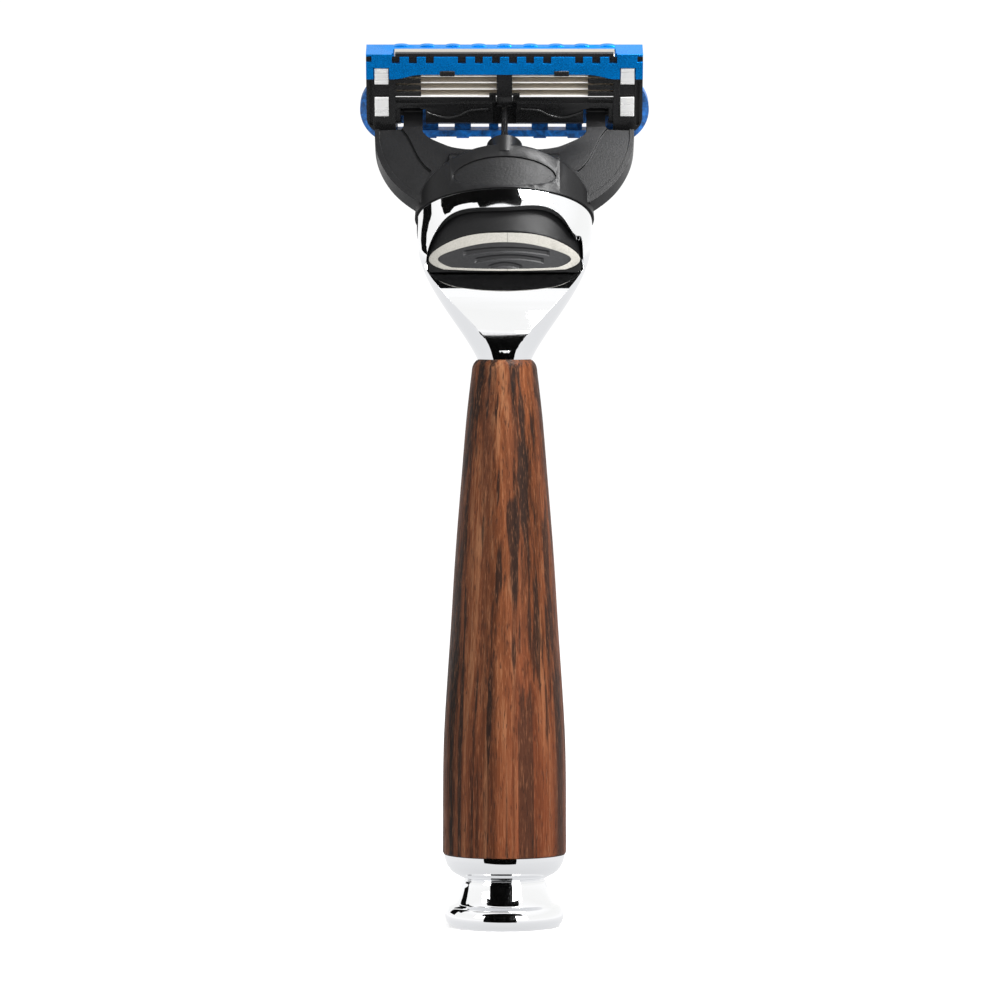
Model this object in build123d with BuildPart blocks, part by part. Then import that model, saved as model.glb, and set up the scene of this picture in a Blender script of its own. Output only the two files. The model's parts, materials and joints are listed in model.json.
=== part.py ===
# Cartridge razor: a turned wooden grip on a chromed foot, a chromed die-cast head with an
# ejector button, and a five-blade cartridge that pivots on the two arms of a black yoke.
#
# Row frame, in millimetres: +Z runs up the grip from the centre of the foot's flat underside,
# +Y points to the shaving side, +X to the right of someone who looks at the back.
#
# Two local frames carry the head and the cartridge:
#   dock   (x, c, a): a runs along the leaning collar axis, c towards the shaving side
#   cart   (-x, w, n): w runs up the cartridge's back, n out of its shaving face
from build123d import *
from math import cos, pi, radians, sin
import os

os.makedirs("parts", exist_ok=True)

# ---------------------------------------------------------------- driving dimensions
# grip
grip_base_z = 11.3          # underside of the wood, where the end cap's bowl meets it
grip_length = 76.6
grip_base_r = 9.6
grip_top_r = 5.1
grip_shoulder = 1.9         # height of the rounded shoulder at the top
grip_swell = ((0.24, 0.96), (0.47, 0.72), (0.79, 0.34))  # share of the length, share of the taper left
rod_r = 2.0                 # M4 tie rod
rod_clearance = 0.2         # in the wood
thread_fit = 0.02           # threads are drawn as plain fits

# end cap
foot_r = 9.25
foot_flat_r = 7.9
foot_height = 3.3
waist_r = 6.4               # narrowest place, under the bowl
waist_flare = 1.15          # how much wider the waist is where it meets the foot
waist_top_z = 7.4
spigot_r = 5.0              # of the end cap, inside the wood
spigot_length = 3.0
spigot_clearance = 0.1
rod_floor_z = 4.3           # bottom of the rod's thread in the end cap

# head casting
neck_r = 4.15
shank_r = 3.2               # of the casting, inside the top of the wood
shank_length = 8.0
collar_half_width = 13.7
collar_half_depth = 8.1
collar_centre_y = 6.6
collar_centre_z = grip_base_z + grip_length + 21.9
collar_lean = 35.0          # degrees, collar axis from the grip's axis
neck_reach = 8.0            # how far the neck runs straight before it leans
casting_wall = 1.2
pocket_depth = 3.6          # collar pocket that the dock core is pressed into
facet_c = -0.1              # flat facet behind the head, which the button slides on
facet_end = (2.9, -23.0)    # (c, a) where the facet has curved out of the neck
facet_flat_a = -13.0        # the facet is flat above this
arch_top = -3.45            # lower edge of the chrome arch at the middle, along a
arch_spring = -9.7          # where the arch meets the facet, along a
arch_half_width = 12.2

# ejector
eject_travel = 3.0
button_back_y = -2.8        # upright, curved back face that the thumb pushes on
button_back_depth = 4.6     # how far that face curves forward at its ends
button_foot_z = 101.5       # level underside
button_wall = 0.8
button_front_wall = 1.7     # carries the ring and the pad
button_top_a = -2.0         # upper end, hidden under the arch
ring_width = 1.45
ring_lip = 0.3              # ring width along its straight lower edge
ring_proud = 0.22
inlay_depth = 0.8
prong_half_gap = 5.5
prong_width = 2.0
slide_gap = 0.3             # between sliding pieces of different bodies

# yoke
seat_gap = 0.1              # hairline between the chrome rim and the yoke
yoke_half_width = 14.0
yoke_half_depth = 8.35
dome_height = 8.7
nose_height = 2.8           # of the dock core above the chrome rim
arm_back_c = -3.2
arm_front_c = -0.2
arm_shoulder_a = 15.3
arm_reach = 20.4            # half the width over both arms
arm_rim = 0.75
badge_a = 3.3               # plain oval field on the dome
badge_half_width = 8.0
badge_half_height = 2.85
badge_depth = 0.25
arm_recess = 0.35
tongue_inner = 12.9
tongue_width = 3.0
tongue_thickness = 1.2
tongue_end_r = 0.8
pin_r = 0.6
pin_length = 1.3
pin_clearance = 0.05
pocket_gap = 0.5            # beside each tongue

# cartridge
cart_origin_y = 14.0        # lower edge of the cartridge's back
cart_origin_z = collar_centre_z + 15.2
cart_tilt = 24.0            # degrees, shaving face from upright
cart_half_width = 21.7
cart_height = 11.9          # of the back
cart_depth = 4.0
pivot_w = 1.0
pivot_n = 2.9
pivot_range = 40.0
blade_count = 5
blade_pitch = 1.08
first_blade_w = 8.78
blade_half_length = 20.3
blade_travel = 0.25         # each blade gives way by this much
support_thickness = 0.2
window_half_width = 17.1
rib_half_width = 1.22
clip_inner = 18.2
clip_width = 2.2
clip_thickness = 0.25
cover_thickness = 0.6
tooth_pitch = 2.67
notch_width = 1.25
guard_half_width = cart_half_width + 0.8
plunger_r = 0.62
plunger_c = -4.0
plunger_tip_a = 19.3
chamber_r = 1.1
wire_r = 0.14

# ---------------------------------------------------------------- frames and derived places
lean = radians(collar_lean)
tilt = radians(cart_tilt)
along = Vector(0, sin(lean), cos(lean))             # a
across = Vector(0, cos(lean), -sin(lean))           # c
outward = Vector(0, cos(tilt), sin(tilt))           # n
upward = Vector(0, -sin(tilt), cos(tilt))           # w
collar_centre = Vector(0, collar_centre_y, collar_centre_z)
cart_origin = Vector(0, cart_origin_y, cart_origin_z)

dock = Plane(origin=collar_centre, x_dir=(1, 0, 0), z_dir=along)
dock_back = Plane(origin=collar_centre, x_dir=(1, 0, 0), z_dir=-across)
dock_side = Plane(origin=collar_centre, x_dir=across, z_dir=(1, 0, 0))
cart = Plane(origin=cart_origin, x_dir=(-1, 0, 0), z_dir=outward)
cart_side = Plane(origin=cart_origin, x_dir=outward, z_dir=(1, 0, 0))

grip_top_z = grip_base_z + grip_length
pivot = cart_origin + outward * pivot_n + upward * pivot_w
pivot_a = (pivot - collar_centre).dot(along)
pivot_c = (pivot - collar_centre).dot(across)
cam_base_r = pivot_c - plunger_c                    # the plunger's line is tangent to this circle
tongue_outer = tongue_inner + tongue_width
channel_half_width = collar_half_width - casting_wall - 0.15
channel_half_depth = collar_half_depth - casting_wall
everywhere = 60.0


def slab(x0, x1, y0, y1, z0, z1, mode=Mode.ADD):
    """A box between two opposite corners, in the part's own frame."""
    with Locations(((x0 + x1) / 2, (y0 + y1) / 2, (z0 + z1) / 2)):
        Box(abs(x1 - x0), abs(y1 - y0), abs(z1 - z0), mode=mode)


def slab_pair(x0, x1, y0, y1, z0, z1, mode=Mode.ADD):
    """The same box on both sides of the middle."""
    slab(x0, x1, y0, y1, z0, z1, mode)
    slab(-x1, -x0, y0, y1, z0, z1, mode)


def write(part, label):
    part.label = label
    export_step(part, f"parts/{label}.step")


# ---------------------------------------------------------------- grip and foot
def grip_profile(bore_r, counterbore_r):
    """Outline of the wooden grip right of its axis: a long taper with a rounded shoulder."""
    taper = grip_base_r - grip_top_r
    length = grip_length - grip_shoulder
    base = (grip_base_r, grip_base_z)
    swell = [(grip_top_r + taper * left, grip_base_z + length * share) for share, left in grip_swell]
    shoulder = (grip_top_r, grip_base_z + length)
    lip = (neck_r + 0.15, grip_top_z)
    Spline(base, *swell, shoulder, tangents=((0, 1), (-0.14, 1)))
    ThreePointArc(shoulder, (grip_top_r - 0.22, grip_top_z - 0.55), lip)
    Polyline(
        lip,
        (counterbore_r, grip_top_z),
        (counterbore_r, grip_top_z - shank_length - 0.4),
        (bore_r, grip_top_z - shank_length - 0.4),
        (bore_r, grip_base_z + spigot_length + 0.4),
        (spigot_r + spigot_clearance, grip_base_z + spigot_length + 0.4),
        (spigot_r + spigot_clearance, grip_base_z),
        base,
    )


with BuildPart() as wood_sleeve:
    with BuildSketch(Plane.XZ):
        with BuildLine():
            grip_profile(rod_r + rod_clearance, shank_r + rod_clearance)
        make_face()
    revolve(axis=Axis.Z)
write(wood_sleeve.part, "wood_sleeve")

with BuildPart() as end_cap:
    with BuildSketch(Plane.XZ):
        with BuildLine():
            waist_foot = (waist_r + waist_flare, foot_height + 0.35)
            Polyline((0, rod_floor_z), (0, 0), (foot_flat_r, 0))
            ThreePointArc((foot_flat_r, 0), (foot_r - 0.32, 0.5), (foot_r, 1.5))
            ThreePointArc((foot_r, 1.5), (foot_r - 0.14, 2.5), (foot_r - 0.75, foot_height))
            Polyline((foot_r - 0.75, foot_height), (waist_foot[0] + 0.1, foot_height + 0.1))
            Line((waist_foot[0] + 0.1, foot_height + 0.1), waist_foot)
            ThreePointArc(waist_foot, (waist_r + 0.45, 5.4), (waist_r + 0.1, waist_top_z - 0.3))
            Line((waist_r + 0.1, waist_top_z - 0.3), (waist_r - 0.15, waist_top_z))
            Line((waist_r - 0.15, waist_top_z), (waist_r - 0.1, waist_top_z + 0.2))
            ThreePointArc(
                (waist_r - 0.1, waist_top_z + 0.2),
                (grip_base_r - 1.15, grip_base_z - 2.55),
                (grip_base_r - 0.15, grip_base_z),
            )
            Polyline(
                (grip_base_r - 0.15, grip_base_z),
                (spigot_r, grip_base_z),
                (spigot_r, grip_base_z + spigot_length),
                (rod_r + thread_fit, grip_base_z + spigot_length),
                (rod_r + thread_fit, rod_floor_z),
                (0, rod_floor_z),
            )
        make_face()
    revolve(axis=Axis.Z)
write(end_cap.part, "end_cap")

with BuildPart() as tie_rod:
    with BuildSketch(Plane.XY.offset(rod_floor_z + 0.2)):
        Circle(rod_r)
    extrude(amount=grip_top_z - 2.0 - rod_floor_z)
    chamfer(tie_rod.edges(), length=0.4)
write(tie_rod.part, "tie_rod")


# ---------------------------------------------------------------- head casting
def section_at(t):
    """Plane, half width and half depth of the casting at share t of its leaning centre line."""
    start = Vector(0, 0, grip_top_z)
    second = Vector(0, 0, grip_top_z + neck_reach)
    third = collar_centre - along * neck_reach
    left = 1 - t
    centre = (
        start * left**3 + second * (3 * left * left * t) + third * (3 * left * t * t) + collar_centre * t**3
    )
    rise = (centre.Z - grip_top_z) / (collar_centre_z - 2.6 - grip_top_z)
    spread = sin(pi / 2 * min(rise, 1) ** 1.17)
    deepen = sin(pi / 2 * min(rise, 1) ** 1.3)
    plane = Plane(
        origin=centre, x_dir=(1, 0, 0), z_dir=(0, sin(lean * t), cos(lean * t))
    )
    width = neck_r + (collar_half_width - neck_r) * spread
    depth = neck_r + (collar_half_depth - neck_r) * deepen
    return plane, width, depth


with BuildPart() as head_shell:
    for step in range(8):
        plane, half_width, half_depth = section_at(step / 7)
        with BuildSketch(plane):
            Ellipse(half_width, half_depth)
    loft()
    # shank into the wood, with the tie rod's thread
    with BuildSketch(Plane.XY.offset(grip_top_z)):
        Circle(shank_r)
    extrude(amount=-shank_length)
    with BuildSketch(Plane.XY.offset(grip_top_z - shank_length)):
        Circle(rod_r + thread_fit)
    extrude(amount=shank_length + 0.5, mode=Mode.SUBTRACT)
    # collar pocket
    with BuildSketch(dock):
        Ellipse(collar_half_width - casting_wall, collar_half_depth - casting_wall)
    extrude(amount=-pocket_depth, mode=Mode.SUBTRACT)
    # channel under the arch, which the button slides in
    with BuildSketch(dock):
        Ellipse(channel_half_width, channel_half_depth)
        with Locations((0, facet_c)):
            Rectangle(everywhere, everywhere, align=(Align.CENTER, Align.MIN), mode=Mode.SUBTRACT)
    extrude(amount=-16, mode=Mode.SUBTRACT)
    # the arch's opening
    with BuildSketch(dock_back.offset(-facet_c)):
        with BuildLine():
            Spline(
                (-arch_half_width, arch_spring),
                (-arch_half_width + 1.3, arch_top - 2.55),
                (-arch_half_width + 2.9, arch_top - 0.75),
                (0, arch_top),
                (arch_half_width - 2.9, arch_top - 0.75),
                (arch_half_width - 1.3, arch_top - 2.55),
                (arch_half_width, arch_spring),
                tangents=((0, 1), (0, -1)),
            )
            Polyline(
                (arch_half_width, arch_spring),
                (arch_half_width, arch_spring - 1),
                (-arch_half_width, arch_spring - 1),
                (-arch_half_width, arch_spring),
            )
        make_face()
    extrude(amount=everywhere, mode=Mode.SUBTRACT)
    # the facet below it, curving out of the back of the neck
    with BuildSketch(dock_side):
        with BuildLine():
            flat = Line((facet_c, arch_spring), (facet_c, facet_flat_a))
            curved = ThreePointArc(
                flat @ 1,
                ((facet_c * 3 + facet_end[0]) / 4 + 0.05, (facet_flat_a + facet_end[1]) / 2),
                facet_end,
            )
            Polyline(curved @ 1, (-everywhere, facet_end[1]), (-everywhere, arch_spring), flat @ 0)
        make_face()
    extrude(amount=everywhere, both=True, mode=Mode.SUBTRACT)
write(head_shell.part, "head_shell")

# ---------------------------------------------------------------- dock core
core_half_width = collar_half_width - casting_wall - 0.05
core_half_depth = collar_half_depth - casting_wall - 0.05
button_half_width = channel_half_width - slide_gap
button_half_depth = channel_half_depth - slide_gap
hollow_half_width = button_half_width - 2.2
hollow_half_depth = button_half_depth - button_wall
nose_half_width = core_half_width - 0.8
nose_half_depth = core_half_depth - 0.75
spring_x = 3.6
spring_c = facet_c - 2.2
spring_coil_r = 0.6
spring_top_a = -0.8
nose_base_a = button_top_a + eject_travel + slide_gap
chamber_floor_a = -2.0
plunger_stop_a = nose_height - 0.4

# centre of the upright column that gives the button its back
back_centre = Plane.XY.offset(button_foot_z).move(
    Location((0, button_back_y + button_back_depth, 0))
)
pushed_centre = Plane.XY.offset(button_foot_z).move(
    Location((0, button_back_y + button_back_depth + eject_travel * along.Y, 0))
)
column_height = collar_centre_z + 10 - button_foot_z

# behind the facet the core is narrow, and clear of the pushed button's back wall
with BuildPart() as core_tongue:
    with BuildSketch(dock.offset(-pocket_depth)):
        Ellipse(hollow_half_width - slide_gap, hollow_half_depth - slide_gap)
    extrude(amount=pocket_depth + nose_base_a)
    with BuildSketch(pushed_centre):
        Ellipse(button_half_width - 2.0 - slide_gap, button_back_depth - button_front_wall - slide_gap)
        Rectangle(2 * hollow_half_width, 20, align=(Align.CENTER, Align.MIN))
    extrude(amount=column_height, mode=Mode.INTERSECT)

with BuildPart() as dock_nose:
    # pressed into the collar pocket
    with BuildSketch(dock.offset(-pocket_depth)):
        Ellipse(core_half_width, core_half_depth)
        with Locations((0, facet_c + 0.1)):
            Rectangle(everywhere, everywhere, align=(Align.CENTER, Align.MAX), mode=Mode.SUBTRACT)
    extrude(amount=pocket_depth)
    add(core_tongue.part)
    # front half of the nose, then its full oval end
    with BuildSketch(dock):
        Ellipse(nose_half_width, nose_half_depth)
        with Locations((0, facet_c + 0.1)):
            Rectangle(everywhere, everywhere, align=(Align.CENTER, Align.MAX), mode=Mode.SUBTRACT)
    extrude(amount=nose_base_a)
    with BuildSketch(dock.offset(nose_base_a)):
        Ellipse(nose_half_width, nose_half_depth)
    extrude(amount=nose_height - nose_base_a)
    # chamber for the plunger's flange and spring, and its way out
    with BuildSketch(dock.offset(chamber_floor_a)):
        with Locations((0, plunger_c)):
            Circle(chamber_r)
    extrude(amount=plunger_stop_a - chamber_floor_a, mode=Mode.SUBTRACT)
    with BuildSketch(dock):
        with Locations((0, plunger_c)):
            Circle(plunger_r + 0.25)
    extrude(amount=nose_height + 1, mode=Mode.SUBTRACT)
    # bores for the button's return springs
    with BuildSketch(dock.offset(-pocket_depth)):
        with Locations((-spring_x, spring_c), (spring_x, spring_c)):
            Circle(spring_coil_r + wire_r + 0.1)
    extrude(amount=spring_top_a + pocket_depth, mode=Mode.SUBTRACT)
    # the prongs of the pusher run through here
    with Locations(dock):
        slab_pair(
            prong_half_gap - slide_gap,
            prong_half_gap + prong_width + slide_gap,
            facet_c - 1.4 - slide_gap,
            facet_c,
            -pocket_depth - 1,
            nose_height + 1,
            Mode.SUBTRACT,
        )
write(dock_nose.part, "dock_nose")

# ---------------------------------------------------------------- ejector
# The button is what an oval bar along the collar axis has in common with an upright oval
# column, so its roof slides under the arch and its back face stands upright.
face_top_z = (
    collar_centre_z
    + (button_back_y - collar_centre_y) / along.Y * along.Z
    + button_half_depth / along.Y
)
with BuildPart() as ejector_button:
    with BuildSketch(dock.offset(-14)):
        Ellipse(button_half_width, button_half_depth)
        with Locations((0, facet_c - slide_gap)):
            Rectangle(everywhere, everywhere, align=(Align.CENTER, Align.MIN), mode=Mode.SUBTRACT)
    extrude(amount=14 + button_top_a)
    with BuildSketch(back_centre):
        Ellipse(button_half_width + 0.15, button_back_depth)
        Rectangle(2 * button_half_width, 20, align=(Align.CENTER, Align.MIN))
    extrude(amount=column_height, mode=Mode.INTERSECT)
    # hollow, open towards the dock
    with BuildPart(mode=Mode.PRIVATE) as hollow:
        with BuildSketch(dock.offset(-14)):
            Ellipse(hollow_half_width, hollow_half_depth)
        extrude(amount=20)
        with BuildSketch(back_centre.offset(button_wall)):
            Ellipse(button_half_width - 2.0, button_back_depth - button_front_wall)
            Rectangle(2 * hollow_half_width, 20, align=(Align.CENTER, Align.MIN))
        extrude(amount=column_height, mode=Mode.INTERSECT)
    add(hollow.part, mode=Mode.SUBTRACT)
solid_button = ejector_button.part

# the face's outline from behind, set in all round, with a straight lower edge
face_plane = Plane(origin=(0, button_back_y - 2, button_foot_z), x_dir=(1, 0, 0), z_dir=(0, -1, 0))
face_rise = face_top_z - button_foot_z


def face_curve(inset, lip):
    """Edges of the ring's or the pad's outline: a high arch over a nearly straight foot."""
    reach = button_half_width - inset
    top = face_rise - inset
    shoulder = face_rise * 0.34
    corner = (reach * 0.8, lip + 0.25)
    Spline(
        (-corner[0], corner[1]),
        (-reach, shoulder),
        (-reach * 0.79, top * 0.71),
        (0, top),
        (reach * 0.79, top * 0.71),
        (reach, shoulder),
        corner,
    )
    ThreePointArc((-corner[0], corner[1]), (0, lip), corner)


with BuildPart() as face_shell:
    with BuildSketch(back_centre):
        Ellipse(button_half_width + 0.15 + ring_proud, button_back_depth + ring_proud)
        Ellipse(button_half_width + 0.15 - inlay_depth, button_back_depth - inlay_depth, mode=Mode.SUBTRACT)
        Rectangle(everywhere, everywhere, align=(Align.CENTER, Align.MIN), mode=Mode.SUBTRACT)
    extrude(amount=column_height)

with BuildPart() as ring_column:
    with BuildSketch(face_plane):
        with BuildLine():
            face_curve(0.35, 0.15)
        make_face()
    extrude(amount=-10)
with BuildPart() as pad_column:
    with BuildSketch(face_plane):
        with BuildLine():
            face_curve(0.35 + ring_width, 0.15 + ring_lip)
        make_face()
    extrude(amount=-10)

with BuildPart() as button_ring:
    add(face_shell.part)
    add(ring_column.part, mode=Mode.INTERSECT)
    add(pad_column.part, mode=Mode.SUBTRACT)
write(button_ring.part, "button_ring")

with BuildPart() as button_pad:
    add(face_shell.part)
    add(pad_column.part, mode=Mode.INTERSECT)
    # three nested grip grooves, shorter towards the lower edge
    for row, half_span in enumerate((7.0, 5.4, 3.2)):
        groove_z = face_rise * 0.66 - 1.05 * row
        with BuildSketch(face_plane.offset(-2 + ring_proud)):
            arc = ThreePointArc(
                (-half_span, groove_z - 0.45), (0, groove_z), (half_span, groove_z - 0.45), mode=Mode.PRIVATE
            )
            SlotArc(arc, 0.48)
        extrude(amount=-3, mode=Mode.SUBTRACT)
    with BuildSketch(back_centre):
        Ellipse(button_half_width - 0.1, button_back_depth - 0.25)
        Ellipse(button_half_width + 0.15 - inlay_depth, button_back_depth - inlay_depth, mode=Mode.SUBTRACT)
        Rectangle(everywhere, everywhere, align=(Align.CENTER, Align.MIN), mode=Mode.SUBTRACT)
    extrude(amount=column_height)
    add(pad_column.part, mode=Mode.INTERSECT)
write(button_pad.part, "button_pad")

with BuildPart() as ejector_button:
    add(solid_button)
    add(button_ring.part, mode=Mode.SUBTRACT)
    add(button_pad.part, mode=Mode.SUBTRACT)
write(ejector_button.part, "ejector_button")

pusher_tip_a = nose_height + seat_gap + 0.1
seat_a = -7.4
with BuildPart(dock) as ejector_pusher:
    slab(-8.6, 8.6, facet_c - 1.4, facet_c - 0.4, seat_a - 1.2, -pocket_depth - eject_travel - slide_gap)
    slab(-4.8, 4.8, facet_c - 3.0, facet_c - 0.4, seat_a - 0.5, seat_a)
    slab_pair(
        prong_half_gap,
        prong_half_gap + prong_width,
        facet_c - 1.4,
        facet_c - 0.4,
        seat_a,
        pusher_tip_a,
    )
write(ejector_pusher.part, "ejector_pusher")


def coil(x, c, base_a, top_a, coil_r, turns):
    """Centre line of a coil of round wire along the collar axis."""
    start = dock.from_local_coords(Vector(x, c, base_a + wire_r))
    height = top_a - base_a - 2 * wire_r
    return Helix(height / turns, height, coil_r, center=start, direction=along, mode=Mode.PRIVATE)


with BuildPart() as ejector_spring:
    for side in (-1, 1):
        path = coil(side * spring_x, spring_c, seat_a + 0.03, spring_top_a - 0.03, spring_coil_r, 6)
        with BuildSketch(Plane(origin=path @ 0, z_dir=path % 0)):
            Circle(wire_r)
        sweep(path=path, is_frenet=True)
write(ejector_spring.part, "ejector_spring")

flange_a = plunger_stop_a - 0.1
flange_height = 0.7
with BuildPart() as plunger_spring:
    path = coil(0, plunger_c, chamber_floor_a + 0.02, flange_a - flange_height - 0.02, 0.78, 4)
    with BuildSketch(Plane(origin=path @ 0, z_dir=path % 0)):
        Circle(wire_r)
    sweep(path=path, is_frenet=True)
write(plunger_spring.part, "plunger_spring")

# ---------------------------------------------------------------- plunger
with BuildPart(dock) as plunger:
    with Locations((0, plunger_c, flange_a - flange_height)):
        Cylinder(chamber_r - 0.12, flange_height, align=(Align.CENTER, Align.CENTER, Align.MIN))
    with Locations((0, plunger_c, flange_a)):
        Cylinder(plunger_r + 0.1, 12.8 - flange_a, align=(Align.CENTER, Align.CENTER, Align.MIN))
    with Locations((0, plunger_c, 12.8)):
        Cone(plunger_r + 0.1, plunger_r - 0.1, 1.2, align=(Align.CENTER, Align.CENTER, Align.MIN))
    with Locations((0, plunger_c, 14.0)):
        Cylinder(plunger_r - 0.1, plunger_tip_a - 14.0, align=(Align.CENTER, Align.CENTER, Align.MIN))
    fillet(plunger.faces().sort_by(Axis((0, 0, 0), along))[-1].edges(), radius=0.4)
write(plunger.part, "plunger")

# ---------------------------------------------------------------- yoke
socket_half_width = nose_half_width + slide_gap
socket_half_depth = nose_half_depth + slide_gap
socket_roof_a = nose_height + seat_gap + 0.2
saddle_a = 11.4


def arm_outline(side):
    """One arm from behind: a curved outer edge, a straight shoulder and a hollow inner edge."""
    outer = [(13.3, 1.0), (17.2, 4.7), (19.6, 9.3), (arm_reach, arm_shoulder_a)]
    inner = [(tongue_inner + 0.1, 15.9), (11.6, 13.5), (9.8, 12.5), (6.0, saddle_a)]
    outer = [(side * x, a) for x, a in outer]
    inner = [(side * x, a) for x, a in inner]
    Spline(*outer, tangents=((side, 0.75), (0, 1)))
    Polyline(
        outer[-1],
        (side * (tongue_outer + 0.1), arm_shoulder_a + 0.25),
        (side * (tongue_outer + 0.1), inner[0][1]),
        inner[0],
    )
    Spline(*inner, tangents=((0, -1), (-side, -0.12)))
    Polyline(inner[-1], (0, saddle_a - 0.2), (0, 0.5), outer[0])


with BuildPart(dock) as yoke:
    # collar, with a little draft
    with BuildSketch(dock.offset(seat_gap)):
        Ellipse(yoke_half_width, yoke_half_depth)
    with BuildSketch(dock.offset(3.4)):
        Ellipse(yoke_half_width - 0.15, yoke_half_depth - 0.1)
    loft()
    # arms
    for side in (-1, 1):
        with BuildSketch(dock_back.offset(-arm_back_c)):
            with BuildLine():
                arm_outline(side)
            make_face()
        extrude(amount=-(arm_front_c - arm_back_c))
    # body between the arms, sloping away at the front
    with BuildSketch(dock_side):
        with BuildLine():
            Polyline(
                (-6.6, 1),
                (-6.6, 7.2),
                (-3.4, 10.4),
                (arm_front_c, saddle_a - 0.2),
                (2.2, 9.0),
                (7.2, 3.3),
                (7.2, 1),
                close=True,
            )
        make_face()
    extrude(amount=8.6, both=True)
yoke_shell = yoke.part

with BuildPart(dock) as dome:
    with BuildSketch(dock.offset(seat_gap)):
        Ellipse(yoke_half_width, yoke_half_depth)
    extrude(amount=dome_height)
    with BuildSketch(dock_back.offset(-1)):
        Ellipse(yoke_half_width, dome_height)
    extrude(amount=everywhere, mode=Mode.INTERSECT)
    fillet(dome.edges().group_by(SortBy.LENGTH)[-1].sort_by(Axis.Z)[-1:], radius=0.5)

with BuildPart() as badge_field:
    with BuildSketch(dock_back.offset(3)):
        with Locations((0, badge_a)):
            Ellipse(badge_half_width, badge_half_height)
    extrude(amount=8)
    with BuildSketch(dock):
        Ellipse(yoke_half_width - badge_depth, yoke_half_depth - badge_depth)
    extrude(amount=dome_height, mode=Mode.SUBTRACT)

with BuildPart() as yoke:
    add(yoke_shell)
    add(dome.part)
    # the nub that the plunger comes out of
    with BuildSketch(dock.offset(dome_height - 1.6)):
        with Locations((0, plunger_c - 1.4)):
            Ellipse(2.8, 3.1)
    extrude(amount=3.1)
    # socket for the dock core's nose
    with BuildSketch(dock.offset(-1)):
        Ellipse(socket_half_width, socket_half_depth)
    extrude(amount=1 + socket_roof_a, mode=Mode.SUBTRACT)
    # way for the plunger
    with BuildSketch(dock):
        with Locations((0, plunger_c)):
            Circle(plunger_r + 0.35)
    extrude(amount=everywhere, mode=Mode.SUBTRACT)
    # plain oval field, sunk to an even depth
    add(badge_field.part, mode=Mode.SUBTRACT)
    # recessed back of each arm, inside its rim
    for side in (-1, 1):
        with BuildSketch(dock_back.offset(-arm_back_c)):
            with BuildLine():
                Spline(
                    (side * 13.2, 2.4),
                    (side * 16.6, 5.6),
                    (side * 18.8, 9.7),
                    (side * (arm_reach - arm_rim), arm_shoulder_a + 0.5),
                )
                Line((side * (arm_reach - arm_rim), arm_shoulder_a + 0.5), (side * 16.4, arm_shoulder_a + 0.5))
                Spline(
                    (side * 16.4, arm_shoulder_a + 0.5),
                    (side * 14.8, 13.2),
                    (side * 13.6, 10.2),
                    (side * 11.4, 7.2),
                )
                Line((side * 11.4, 7.2), (side * 13.2, 2.4))
            make_face()
        extrude(amount=-arm_recess, mode=Mode.SUBTRACT)
    # tongues with their round ends and pins
    for side in (-1, 1):
        inner, outer = sorted((side * tongue_inner, side * tongue_outer))
        with Locations(dock):
            slab(
                inner,
                outer,
                pivot_c - tongue_thickness / 2,
                pivot_c + tongue_thickness / 2,
                arm_shoulder_a - 3,
                pivot_a,
            )
        with BuildSketch(Plane(origin=pivot + Vector(inner, 0, 0), x_dir=(0, 1, 0), z_dir=(1, 0, 0))):
            Circle(tongue_end_r)
        extrude(amount=tongue_width)
        with BuildSketch(
            Plane(origin=pivot + Vector(side * (tongue_outer - 0.5), 0, 0), x_dir=(0, 1, 0), z_dir=(side, 0, 0))
        ):
            Circle(pin_r)
        extrude(amount=0.5 + pin_length)
write(yoke.part, "yoke")


# ---------------------------------------------------------------- cartridge
def cam_point(angle):
    """Where the plunger's tip meets the cam when the head has turned by angle, in (n, w).

    The cam is the involute of a circle about the pivot that the plunger's line is tangent to,
    so the tip moves by the circle's radius times the angle.
    """
    reach = pivot_a - plunger_tip_a + cam_base_r * angle
    y = -reach * along.Y - cam_base_r * across.Y
    z = -reach * along.Z - cam_base_r * across.Z
    turned = Vector(0, y * cos(angle) + z * sin(angle), z * cos(angle) - y * sin(angle))
    return pivot_n + turned.dot(outward), pivot_w + turned.dot(upward)


bottom_front_w = -1.5
end_low_w = -1.6
top_bar_w = cart_height - cover_thickness
window_low = 4.25
window_high = 8.95
front_low = 3.1
front_high = 9.4
leg_low_w = 1.45
leg_high_w = 9.2
cam_points = [cam_point(radians(pivot_range * share)) for share in (-0.2, 0.1, 0.4, 0.7, 1.0, 1.15)]
chamber_floor_n = 1.0

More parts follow.
